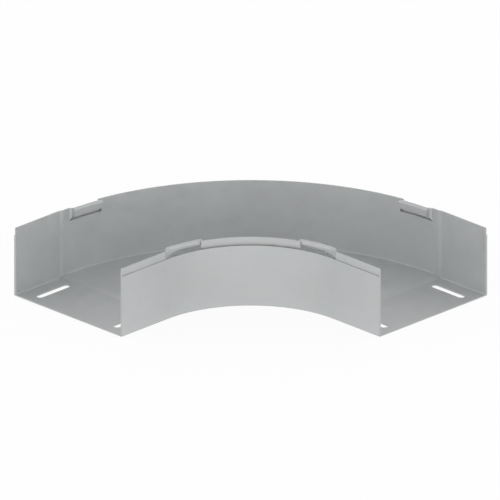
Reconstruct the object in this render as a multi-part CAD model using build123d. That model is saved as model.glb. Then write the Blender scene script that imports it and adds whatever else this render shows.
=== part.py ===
from build123d import *
import math
import os

# A flat ninety degree bend for a straight cable tray. Each end is a socket that the tray slides into,
# and the curve between them carries the cables on at the same level. Sizes are in millimetres.
# The model is drawn about the centre of curvature: one socket lies along -Y, the other along -X.

# Sheet and the tray that the bend joins
sheet = 0.8
bend_inside = 0.3
tray_width = 100.0
socket_play = 0.4
side_height = 50.0

# Plan of the bend
inside_radius = 80.0
socket_length = 45.0

# The outer skirt stops below the rim and leaves a single band of sheet
top_band = 5.5

# The rails step in where the socket ends, so that the tray's face runs on flush
joggle_step = 1.0
joggle_run = 2.5
joggle_lead = 0.4
joggle_radius = 0.6

# Feet of the rails and the floor plate that lies on them; its ends slope down to the sockets' floor
foot_width = 12.0
foot_setback = 4.0
plate_gap = 0.1
plate_crest = 2.2
plate_slope = 4.7
seam_fillet = 0.5

# Slots for the bolts that hold the tray
slot_length = 30.0
slot_width = 5.0
slot_edge = 13.4

# Hook tabs, lanced out of the rims just past each joint. Lengths run along the wall, and the starts are
# counted from the joint. The two walls differ.
outer_tab_start = 5.2
outer_rim_cut = 25.6
outer_window = 28.2
outer_hood = 25.1
inner_tab_start = 1.0
inner_rim_cut = 27.4
inner_window = 27.4
inner_hood = 27.2

# What both walls' tabs share; drops are counted from the rim
tab_ramp = 1.6
tab_inset = 1.3
window_drop = 9.5
rim_cut_drop = 4.0
hood_lead = 0.2
hood_reach = 3.5
hood_inner_leg = 5.4
hood_outer_leg = 3.0
web_drop = 9.0
web_knee_along = 2.4
web_knee_drop = 5.0
web_along = 8.5
eyelet_along = 7.6
eyelet_drop = 6.5
eyelet_radius = 1.45
eyelet_hole_radius = 0.65

# Worked out from the sizes above
bend_outside = bend_inside + sheet
half_socket = tray_width / 2 + socket_play
centre_radius = inside_radius + half_socket
skirt_height = side_height - top_band
floor_top = sheet
foot_top = floor_top + sheet
plate_top = foot_top + sheet
quarter = 90.0
overlap = 1.0
hair = 0.1

# Depths are measured across the tray from the socket's wall: outwards is positive
rail_out = sheet
skirt_out = 2 * sheet
curve_in = -joggle_step
curve_out = curve_in + sheet
inset_out = curve_out - tab_inset
inset_in = inset_out - sheet
hood_in = inset_out - hood_reach

# The two walls
OUTER = 1
INNER = -1
tab_start = {OUTER: outer_tab_start, INNER: inner_tab_start}
rim_cut = {OUTER: outer_rim_cut, INNER: inner_rim_cut}
window = {OUTER: outer_window, INNER: inner_window}
hood_length = {OUTER: outer_hood, INNER: inner_hood}
mirror_plane = Plane(origin=(0, 0, 0), z_dir=(1, -1, 0))


def radius_at(side, depth):
    """Distance from the centre of curvature of a face at this depth in one of the two walls."""
    return centre_radius + side * (half_socket + depth)


def angle_at(side, length):
    """Angle past the joint, in degrees, for a length along the curved wall."""
    return math.degrees(length / radius_at(side, (curve_in + curve_out) / 2))


def both_ends(shape):
    """A shape at the first joint, with its mirror image at the second."""
    return [shape, mirror(shape, about=mirror_plane)]


def swept(section, start=0.0, stop=quarter):
    """A section of the XZ plane turned about the centre of curvature from one angle to another."""
    return Rot(0, 0, start) * revolve(section, axis=Axis.Z, revolution_arc=stop - start)


def block_between(low, high, heights):
    """A rectangle of the section plane between two radii and two heights."""
    bottom, top = heights
    centre = ((low + high) / 2, (bottom + top) / 2)
    return Plane.XZ * Pos(*centre) * Rectangle(high - low, top - bottom)


def block(side, depths, heights):
    """The same between two depths in one of the walls."""
    low, high = sorted(radius_at(side, depth) for depth in depths)
    return block_between(low, high, heights)


def polygon(plane, points):
    """A closed flat face from a ring of points."""
    return plane * make_face(Polyline(*points, close=True))


# Base pan


def pan_section():
    """Floor and both skirts, folded from one sheet."""
    left = radius_at(INNER, skirt_out)
    right = radius_at(OUTER, skirt_out)
    middle = (left + right) / 2
    outline = Pos(middle, skirt_height / 2) * Rectangle(right - left, skirt_height)
    outline = fillet(outline.vertices().group_by(Axis.Y)[0], bend_outside)
    hollow_height = skirt_height - sheet + overlap
    hollow = Pos(middle, sheet + hollow_height / 2) * Rectangle(right - left - 2 * sheet, hollow_height)
    hollow = fillet(hollow.vertices().group_by(Axis.Y)[0], bend_inside)
    return Plane.XZ * (outline - hollow)


def pan_socket(section):
    """One straight end of the pan with its pair of slots."""
    socket = extrude(section, amount=socket_length, dir=(0, -1, 0))
    slot = Rot(0, 0, quarter) * SlotOverall(slot_length, slot_width)
    for side in (INNER, OUTER):
        place = Pos(radius_at(side, -slot_edge), -socket_length / 2, -overlap)
        socket -= place * extrude(slot, amount=sheet + 2 * overlap)
    return socket


def base_pan():
    section = pan_section()
    pan = swept(section)
    for socket in both_ends(pan_socket(section)):
        pan += socket
    return pan


# Bend floor plate


def plate_end(blank, reach):
    """One end of the plate, cut from a blank: it slopes down and lies flush on the pan's floor."""
    turn = math.atan2(plate_top - floor_top, plate_slope)
    kink = plate_crest + sheet * math.tan(turn / 2)
    heel = kink - (foot_top - floor_top) / math.tan(turn)
    points = [
        (reach, foot_top),
        (kink, foot_top),
        (heel, floor_top),
        (plate_crest - plate_slope, floor_top),
        (plate_crest, plate_top),
        (reach, plate_top),
    ]
    profile = make_face(Polyline(*points, close=True))
    profile = fillet(profile.vertices().sort_by_distance((plate_crest, plate_top))[0], bend_outside)
    profile = fillet(profile.vertices().sort_by_distance((kink, foot_top))[0], bend_inside)
    return blank & extrude(Plane.YZ * profile, amount=radius_at(OUTER, 0), dir=(1, 0, 0))


def bend_floor_plate():
    """The raised floor of the curve, lying on the rails' feet, with an end past each joint."""
    low, high = (radius_at(side, curve_in - plate_gap) for side in (INNER, OUTER))
    turn = angle_at(INNER, plate_crest + bend_outside)
    slab = swept(block_between(low, high, (foot_top, plate_top)), turn, quarter - turn)
    tall = block_between(low, high, (floor_top, plate_top))
    blank = swept(tall, 0, turn) + extrude(tall, amount=plate_slope, dir=(0, -1, 0))
    for end in both_ends(plate_end(blank, high)):
        slab += end
    return slab


# Side rails


def joggle_line(side, depth, shift):
    """One face of the rail in plan, from the socket's mouth to the joint."""
    stub = radius_at(side, depth)
    curve = radius_at(side, depth - joggle_step)
    first, second = joggle_radius, joggle_radius + sheet
    if depth > 0:
        first, second = second, first
    near = -joggle_lead + shift
    far = near - joggle_run
    points = [(stub, -socket_length), (stub, far), (curve, near), (curve, 0)]
    return FilletPolyline(*points, radius=[first, second])


def rail_socket(side):
    """The straight end of a rail, with its step and the seam along its foot."""
    turn = math.atan2(joggle_step, joggle_run)
    shift = sheet * math.tan(turn / 2)
    on_floor = Pos(0, 0, floor_top)
    tray_face = on_floor * joggle_line(side, 0, 0)
    back_face = on_floor * joggle_line(side, rail_out, shift)
    mouth = Line(tray_face @ 0, back_face @ 0)
    joint = Line(tray_face @ 1, back_face @ 1)
    plan = make_face([*tray_face.edges(), *back_face.edges(), *mouth.edges(), *joint.edges()])
    wall = extrude(plan, amount=side_height - floor_top, dir=(0, 0, 1))
    foot_edges = wall.edges().group_by(Axis.Z)[0]
    heel = [edge for edge in foot_edges if back_face.distance_to(edge.center()) < hair]
    wall = chamfer(heel, bend_inside)
    seam_length = socket_length - joggle_lead - joggle_run - joggle_radius
    seam = extrude(seam_section(side, 0, floor_top), amount=seam_length, dir=(0, -1, 0))
    return wall + Pos(0, seam_length - socket_length, 0) * seam


def seam_section(side, depth, height):
    """The small hollow fillet between a wall's tray side and the floor below it."""
    wall = radius_at(side, depth)
    toe = radius_at(side, depth - seam_fillet)
    top = height + seam_fillet
    root = radius_at(side, depth + sheet / 2)
    arc = RadiusArc((wall, top), (toe, height), side * seam_fillet)
    ring = Polyline((toe, height), (root, height), (root, top), (wall, top))
    return Plane.XZ * make_face([*arc.edges(), *ring.edges()])


def rail_curve(side):
    """The curved wall and the foot that is folded in under the floor plate."""
    wall = swept(block(side, (curve_in, curve_out), (floor_top, side_height)))
    setback = angle_at(side, foot_setback)
    foot = block(side, (curve_in - foot_width, curve_out - hair), (floor_top, foot_top))
    wall += swept(foot, setback, quarter - setback)
    crest = angle_at(side, plate_crest + bend_outside)
    return wall + swept(seam_section(side, curve_in, plate_top), crest, quarter - crest)


def hood_sections(side):
    """The hook's section, with a long leg on the tray side and a short one behind: filled, and hollow."""
    bottom = side_height - hood_inner_leg
    filled = block(side, (hood_in, inset_out), (bottom, side_height))
    filled = fillet(filled.vertices().group_by(Axis.Z)[-1], bend_outside)
    behind = (inset_in - hair, inset_out + overlap)
    filled -= block(side, behind, (bottom - overlap, side_height - hood_outer_leg))
    space = block(side, (hood_in + sheet, inset_in), (bottom - overlap, side_height - sheet))
    space = fillet(space.vertices().group_by(Axis.Z)[-1], bend_inside)
    return filled, filled - space


def hood(side):
    """The hood along the wall, closed at the end that faces the joint."""
    start = tab_start[side] + tab_ramp + hood_lead
    filled, hollow = hood_sections(side)
    shell = swept(hollow, angle_at(side, start), angle_at(side, start + hood_length[side]))
    return shell + swept(filled, angle_at(side, start), angle_at(side, start + sheet))


def ramp_block(side):
    """The wall turned in from its own face to the inset face, drawn in plan."""
    start = angle_at(side, tab_start[side])
    stop = angle_at(side, tab_start[side] + tab_ramp)
    corners = [(curve_in, start), (curve_out, start), (inset_out, stop), (inset_in, stop)]
    ring = []
    for depth, angle in corners:
        reach = radius_at(side, depth)
        ring.append((reach * math.cos(math.radians(angle)), reach * math.sin(math.radians(angle))))
    bottom = side_height - web_drop
    return extrude(polygon(Plane.XY.offset(bottom), ring), amount=web_drop, dir=(0, 0, 1))


def face_plane(side, length):
    """A plane on the inset wall at this length past the joint: X runs along the wall, Y is up."""
    angle = math.radians(angle_at(side, length))
    reach = radius_at(side, inset_out)
    outwards = Vector(math.cos(angle), math.sin(angle), 0)
    along = Vector(-math.sin(angle), math.cos(angle), 0)
    return Plane(origin=outwards * reach, x_dir=along, z_dir=outwards)


def web_pattern(side):
    """The ramp and web laid flat, from the tab's start. Only the inner wall's web has an eyelet."""
    shoulder = side_height - bend_outside
    under_hood = tab_ramp + hood_lead + sheet
    points = [
        (-overlap, side_height - web_drop),
        (0, side_height - web_drop),
        (web_knee_along, side_height - web_knee_drop),
        (web_along, side_height - hood_outer_leg),
        (web_along, shoulder),
        (under_hood, shoulder),
        (under_hood, side_height),
        (-overlap, side_height),
    ]
    pattern = make_face(Polyline(*points, close=True))
    if side == OUTER:
        return pattern
    eyelet = Pos(eyelet_along, side_height - eyelet_drop)
    neck_height = eyelet_drop - bend_outside
    neck = Pos(0, neck_height / 2) * Rectangle(eyelet_radius, neck_height)
    pattern += eyelet * (Circle(eyelet_radius) + neck)
    return pattern - eyelet * Circle(eyelet_hole_radius)


def hook_tab(side):
    """One hook tab: the ramp, the web and the hood."""
    web_start = tab_start[side] + tab_ramp
    web_stop = tab_start[side] + max(web_along, eyelet_along + eyelet_radius) + overlap
    shell = block(side, (inset_in, inset_out), (side_height - web_drop, side_height))
    web = ramp_block(side) + swept(shell, angle_at(side, web_start), angle_at(side, web_stop))
    middle = web_along / 2
    plane = face_plane(side, tab_start[side] + middle)
    cutter = extrude(plane * Pos(-middle, 0) * web_pattern(side), amount=hood_reach, both=True)
    return (web & cutter) + hood(side)


def rail_window(side):
    """What the lance takes out of the wall: the window, and the shorter cut through the rim above it."""
    depths = (curve_in - hair, curve_out + hair)
    bottom = side_height - window_drop
    start = tab_start[side]
    low = block(side, depths, (bottom, side_height - rim_cut_drop))
    full = block(side, depths, (bottom, side_height + overlap))
    opening = swept(low, angle_at(side, start), angle_at(side, start + window[side]))
    return opening + swept(full, angle_at(side, start), angle_at(side, start + rim_cut[side]))


def side_rail(side):
    rail = rail_curve(side)
    for socket in both_ends(rail_socket(side)):
        rail += socket
    for opening in both_ends(rail_window(side)):
        rail -= opening
    for tab in both_ends(hook_tab(side)):
        rail += tab
    return rail


# The row's origin is the middle of the plan's square, on the underside
plan_low = -socket_length
plan_high = radius_at(OUTER, skirt_out)
plan_middle = (plan_low + plan_high) / 2
to_row = Pos(-plan_middle, -plan_middle, 0)

parts = {
    "base_pan": base_pan(),
    "bend_floor_plate": bend_floor_plate(),
    "inner_side_rail": side_rail(INNER),
    "outer_side_rail": side_rail(OUTER),
}

os.makedirs("parts", exist_ok=True)
for name, shape in parts.items():
    placed = to_row * shape
    export_step(placed, f"parts/{name}.step")
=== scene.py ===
"""A galvanised cable tray bend on a white studio floor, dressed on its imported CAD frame.

Lengths are in metres. The CAD nodes keep their shapes, and the scene adds only finish, light, floor and camera.
"""

import math

import bpy
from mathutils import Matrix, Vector

MM = 0.001

# Camera, measured from the photograph, which shows no perspective
AZIMUTH = -45.0
ELEVATION = 22.77
AIM = Vector((13.83, 14.51, 25.0)) * MM
DISTANCE = 1.0
FRAME_WIDTH = 339.9 * MM
CLIP_END = 10.0

# Where the sheet's cut edges lie in the row frame, and the slope that still counts as level or upright
RIM_TOP = 50.0 * MM
SKIRT_TOP = 44.5 * MM
MOUTH = -113.7 * MM
HAIR = 0.02 * MM
LEVEL_NORMAL = 0.99
UPRIGHT_NORMAL = 0.01

# The studio: a bright horizon all round under a softer ceiling, over a white floor
HORIZON = 2.0
CEILING = 0.45
WHITE = (1.0, 1.0, 1.0, 1.0)
FLOOR_SIZE = 60.0
FLOOR_PAINT = (0.95, 0.95, 0.95, 1.0)
GLOW_SHARE = 0.9

# The zinc coat. Scales are in cells or waves a metre. The rest are how far each pattern moves the tone,
# around 1, or the roughness. A noise stays mostly between NOISE_LOW and NOISE_HIGH.
ZINC = (0.528, 0.54, 0.543, 1.0)
BARE_EDGE = (0.455, 0.462, 0.46, 1.0)
METALLIC = 0.75
ROUGHNESS = 0.6
ZINC_SPANGLE_TONE = 0.04
EDGE_SPANGLE_TONE = 0.01
WARP_SCALE = 500.0
WARP = 1.8 * MM
FINE_SPANGLE_SCALE = 330.0
BROAD_SPANGLE_SCALE = 120.0
FINE_SHARE = 0.65
BROAD_SHARE = 0.35
CLOUD_SCALE = 22.0
CLOUD_TONE = 0.018
LINE_STRETCH = (6.0, 6.0, 1500.0)
LINE_TONE = 0.008
GRAIN_SCALE = 2200.0
SPANGLE_ROUGHNESS = 0.07
GRAIN_ROUGHNESS = 0.04
BUMP_STRENGTH = 0.12
BUMP_DEPTH = 0.03 * MM
NOISE_LOW = 0.3
NOISE_HIGH = 0.7

# The Mix node's sockets for colours: factor, first and second colour, and the result
COLOUR_MIX_INPUTS = (0, 6, 7)
COLOUR_MIX_OUTPUT = 2


def fill(tree, socket, value):
    """Stores a plain value in a socket, or links an output to it."""
    if isinstance(value, bpy.types.NodeSocket):
        tree.links.new(value, socket)
    else:
        socket.default_value = value


def add(tree, kind, **inputs):
    """A node with its sockets filled, named with _ for a space."""
    node = tree.nodes.new(kind)
    for name, value in inputs.items():
        fill(tree, node.inputs[name.replace("_", " ")], value)
    return node


def maths(tree, operation, first, second):
    node = tree.nodes.new("ShaderNodeMath")
    node.operation = operation
    fill(tree, node.inputs[0], first)
    fill(tree, node.inputs[1], second)
    return node.outputs[0]


def remap(tree, value, low, high, to_low, to_high):
    limits = {"From_Min": low, "From_Max": high, "To_Min": to_low, "To_Max": to_high}
    return add(tree, "ShaderNodeMapRange", Value=value, **limits).outputs["Result"]


def noise(tree, vector, scale, detail):
    return add(tree, "ShaderNodeTexNoise", Vector=vector, Scale=scale, Detail=detail).outputs


def either_way(tree, pattern, reach):
    """A noise turned into a change of up to reach, up or down."""
    return remap(tree, pattern, NOISE_LOW, NOISE_HIGH, -reach, reach)


def spangle(tree, coordinates, scale, channel):
    """One even random value for each crystal of the zinc."""
    cells = add(tree, "ShaderNodeTexVoronoi", Vector=coordinates, Scale=scale)
    return add(tree, "ShaderNodeSeparateColor", Color=cells.outputs["Color"]).outputs[channel]


def new_material(name):
    material = bpy.data.materials.new(name)
    material.use_nodes = True
    tree = material.node_tree
    tree.nodes.clear()
    return material, tree


def galvanised(name, colour, spangle_tone):
    """Hot dipped sheet: small soft spangles, faint rolling lines and a fine grain."""
    material, tree = new_material(name)
    coordinates = add(tree, "ShaderNodeTexCoord").outputs["Object"]
    warp = noise(tree, coordinates, WARP_SCALE, 2.0)["Color"]
    bent = tree.nodes.new("ShaderNodeVectorMath")
    bent.operation = "MULTIPLY_ADD"
    for socket, value in zip(bent.inputs, (warp, (WARP, WARP, WARP), coordinates)):
        fill(tree, socket, value)
    bent = bent.outputs["Vector"]
    fine = maths(tree, "MULTIPLY", spangle(tree, bent, FINE_SPANGLE_SCALE, "Red"), FINE_SHARE)
    broad = maths(tree, "MULTIPLY", spangle(tree, bent, BROAD_SPANGLE_SCALE, "Green"), BROAD_SHARE)
    flake = maths(tree, "ADD", fine, broad)
    clouds = noise(tree, coordinates, CLOUD_SCALE, 3.0)["Fac"]
    layers = add(tree, "ShaderNodeMapping", Vector=coordinates, Scale=LINE_STRETCH).outputs["Vector"]
    lines = noise(tree, layers, 1.0, 2.0)["Fac"]
    grain = noise(tree, coordinates, GRAIN_SCALE, 2.0)["Fac"]

    tone = remap(tree, flake, 0.0, 1.0, -spangle_tone, spangle_tone)
    tone = maths(tree, "ADD", tone, either_way(tree, clouds, CLOUD_TONE))
    tone = maths(tree, "ADD", tone, either_way(tree, lines, LINE_TONE))
    tone = maths(tree, "ADD", tone, 1.0)
    grey = add(tree, "ShaderNodeCombineColor", Red=tone, Green=tone, Blue=tone).outputs["Color"]
    tint = tree.nodes.new("ShaderNodeMix")
    tint.data_type = "RGBA"
    tint.blend_type = "MULTIPLY"
    for socket, value in zip(COLOUR_MIX_INPUTS, (1.0, colour, grey)):
        fill(tree, tint.inputs[socket], value)

    dullness = remap(tree, flake, 0.0, 1.0, ROUGHNESS - SPANGLE_ROUGHNESS, ROUGHNESS + SPANGLE_ROUGHNESS)
    dullness = maths(tree, "ADD", dullness, either_way(tree, grain, GRAIN_ROUGHNESS))
    relief = maths(tree, "ADD", maths(tree, "MULTIPLY", flake, 0.5), maths(tree, "MULTIPLY", grain, 0.5))
    bump = add(tree, "ShaderNodeBump", Height=relief, Strength=BUMP_STRENGTH, Distance=BUMP_DEPTH)
    shader = add(
        tree,
        "ShaderNodeBsdfPrincipled",
        Base_Color=tint.outputs[COLOUR_MIX_OUTPUT],
        Metallic=METALLIC,
        Roughness=dullness,
        Normal=bump.outputs["Normal"],
    )
    add(tree, "ShaderNodeOutputMaterial", Surface=shader.outputs["BSDF"])
    return material


def mark_cut_edges(mesh):
    """The sheet's sheared faces, at the mouths, the rims and the skirts' tops, wear the second material."""
    for face in mesh.polygons:
        at = face.center
        at_mouth = min(abs(at.x - MOUTH), abs(at.y - MOUTH)) < HAIR
        at_top = min(abs(at.z - RIM_TOP), abs(at.z - SKIRT_TOP)) < HAIR
        end = at_mouth and abs(face.normal.z) < UPRIGHT_NORMAL
        top = at_top and face.normal.z > LEVEL_NORMAL
        face.material_index = int(end or top)


def studio_floor():
    """A pale floor that the camera and reflections see as white, with the object's soft shadow."""
    bpy.ops.mesh.primitive_plane_add(size=FLOOR_SIZE, location=(0.0, 0.0, -HAIR))
    floor = bpy.context.object
    floor.name = "studio_floor"
    material, tree = new_material("studio_white")
    path = add(tree, "ShaderNodeLightPath").outputs
    seen = maths(tree, "MAXIMUM", path["Is Camera Ray"], path["Is Glossy Ray"])
    seen = maths(tree, "MAXIMUM", seen, path["Is Transmission Ray"])
    paint = add(tree, "ShaderNodeBsdfDiffuse", Color=FLOOR_PAINT)
    glow = add(tree, "ShaderNodeEmission", Strength=1.0)
    mixed = add(tree, "ShaderNodeMixShader", Fac=maths(tree, "MULTIPLY", seen, GLOW_SHARE))
    tree.links.new(paint.outputs["BSDF"], mixed.inputs[1])
    tree.links.new(glow.outputs["Emission"], mixed.inputs[2])
    add(tree, "ShaderNodeOutputMaterial", Surface=mixed.outputs["Shader"])
    floor.data.materials.append(material)


def studio_light():
    """Soft light from all round, stronger at the horizon. The camera itself sees plain white."""
    world = bpy.data.worlds.new("studio")
    bpy.context.scene.world = world
    world.use_nodes = True
    tree = world.node_tree
    background = tree.nodes["Background"].inputs
    background["Color"].default_value = WHITE
    direction = add(tree, "ShaderNodeTexCoord").outputs["Generated"]
    height = add(tree, "ShaderNodeSeparateXYZ", Vector=direction).outputs["Z"]
    level = remap(tree, height, 0.0, 1.0, HORIZON, CEILING)
    camera_ray = add(tree, "ShaderNodeLightPath").outputs["Is Camera Ray"]
    strength = add(tree, "ShaderNodeMix", Factor=camera_ray, A=level, B=1.0)
    tree.links.new(strength.outputs["Result"], background["Strength"])


def camera():
    turn, rise = math.radians(AZIMUTH), math.radians(ELEVATION)
    back = Vector((math.sin(turn) * math.cos(rise), -math.cos(turn) * math.cos(rise), math.sin(rise)))
    data = bpy.data.cameras.new("camera")
    data.type = "ORTHO"
    data.ortho_scale = FRAME_WIDTH
    data.clip_end = CLIP_END
    view = bpy.data.objects.new("camera", data)
    bpy.context.scene.collection.objects.link(view)
    view.location = AIM + back * DISTANCE
    view.rotation_euler = back.to_track_quat("Z", "Y").to_euler()
    bpy.context.scene.camera = view


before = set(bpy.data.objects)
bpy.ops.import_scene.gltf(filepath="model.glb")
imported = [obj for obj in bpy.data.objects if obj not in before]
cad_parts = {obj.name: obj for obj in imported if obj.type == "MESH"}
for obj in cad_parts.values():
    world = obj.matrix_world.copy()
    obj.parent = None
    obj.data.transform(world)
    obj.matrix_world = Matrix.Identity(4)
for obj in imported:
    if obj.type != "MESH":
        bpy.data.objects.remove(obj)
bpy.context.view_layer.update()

sheet = galvanised("galvanised_sheet", ZINC, ZINC_SPANGLE_TONE)
bare_edge = galvanised("sheet_cut_edge", BARE_EDGE, EDGE_SPANGLE_TONE)
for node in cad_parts.values():
    node.data.materials.clear()
    node.data.materials.append(sheet)
    node.data.materials.append(bare_edge)
    mark_cut_edges(node.data)

studio_floor()
studio_light()
camera()
bpy.context.scene.view_settings.view_transform = "Standard"
